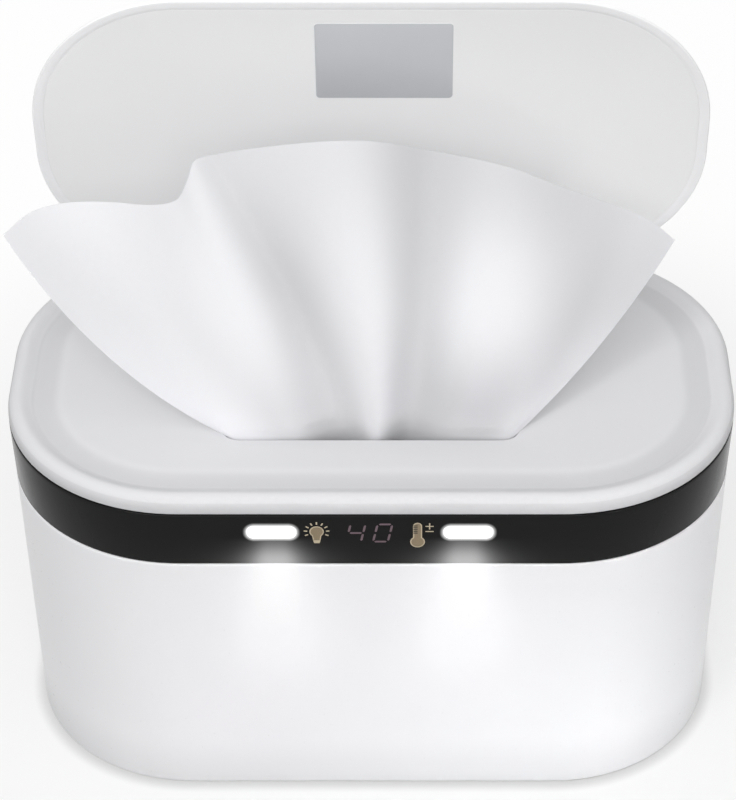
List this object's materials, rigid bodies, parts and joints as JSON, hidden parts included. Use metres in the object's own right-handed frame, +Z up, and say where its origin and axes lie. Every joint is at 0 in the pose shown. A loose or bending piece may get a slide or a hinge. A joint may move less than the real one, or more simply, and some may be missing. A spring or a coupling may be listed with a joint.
{
  "type": "baby wipe warmer",
  "caption": "Table-top warmer for a pack of baby wipes: rounded housing, black control band with night lights, hinged deck with a dispensing slot and a hinged lid standing open.",
  "frame": {"origin": "on the table, under the middle of the housing", "axes": "+Z up, the front with the display faces -Y, +X to the right seen from the front"},
  "size_m": [0.22, 0.134, 0.2268],
  "materials": {
    "white_plastic": "satin moulded white plastic",
    "deck_plastic": "satin moulded cool white plastic",
    "lid_plastic": "satin moulded cool white plastic",
    "black_band": "high-gloss smoked black plastic",
    "light_lens": "milky light-spreading plastic, lit",
    "tank_plastic": "plain moulded light grey plastic",
    "rubber": "matte dark rubber",
    "silicone": "translucent soft silicone",
    "steel": "zinc plated",
    "aluminium": "plain sheet",
    "circuit_board": "green solder mask",
    "dark_parts": "matte black moulding",
    "heater": "orange silicone heating mat",
    "foam": "soft grey foam",
    "label": "smooth grey label stock, blank",
    "wipe_cloth": "damp white nonwoven cloth"
  },
  "bodies": {
    "housing": {"outer_housing": "white_plastic", "control_band": "black_band", "wipe_tank": "tank_plastic", "base_plate": "tank_plastic", "base_screw_front_left": "steel", "base_screw_front_right": "steel", "base_screw_rear_left": "steel", "base_screw_rear_right": "steel", "foot_front_left": "rubber", "foot_front_right": "rubber", "foot_rear_left": "rubber", "foot_rear_right": "rubber", "heat_spreader": "aluminium", "heater_mat": "heater", "insulation_pad": "foam", "thermal_fuse": "steel", "thermistor": "dark_parts", "main_board": "circuit_board", "power_relay": "dark_parts", "board_screw_left": "steel", "board_screw_right": "steel", "dc_inlet": "dark_parts", "power_lead": "dark_parts", "display_board": "circuit_board", "display_ribbon": "foam", "digit_display": "dark_parts", "touch_pad_light": "foam", "touch_pad_heat": "foam", "night_light_led_left": "light_lens", "night_light_led_right": "light_lens", "night_light_lens_left": "light_lens", "night_light_lens_right": "light_lens", "display_screw_left": "steel", "display_screw_right": "steel", "deck_hinge_pin_left": "steel", "deck_hinge_pin_right": "steel"},
    "deck": {"deck_cover": "deck_plastic", "deck_seal": "silicone", "wipe_sheet": "wipe_cloth", "lid_hinge_pin_left": "steel", "lid_hinge_pin_right": "steel"},
    "lid": {"lid_shell": "lid_plastic", "lid_liner": "lid_plastic", "lid_label_plate": "label", "lid_hinge_washer_left": "silicone", "lid_hinge_washer_right": "silicone"}
  },
  "joints": [
    {"name": "deck_hinge", "type": "hinge", "parent": "housing", "child": "deck", "pos_m": [0, 0.0672, 0.1124], "axis": [-1, 0, 0], "range_deg": [0, 95]},
    {"name": "lid_hinge", "type": "hinge", "parent": "deck", "child": "lid", "pos_m": [0, 0.05325, 0.1186], "axis": [-1, 0, 0], "range_deg": [-80, 15], "deforming": ["wipe_sheet"]}
  ]
}
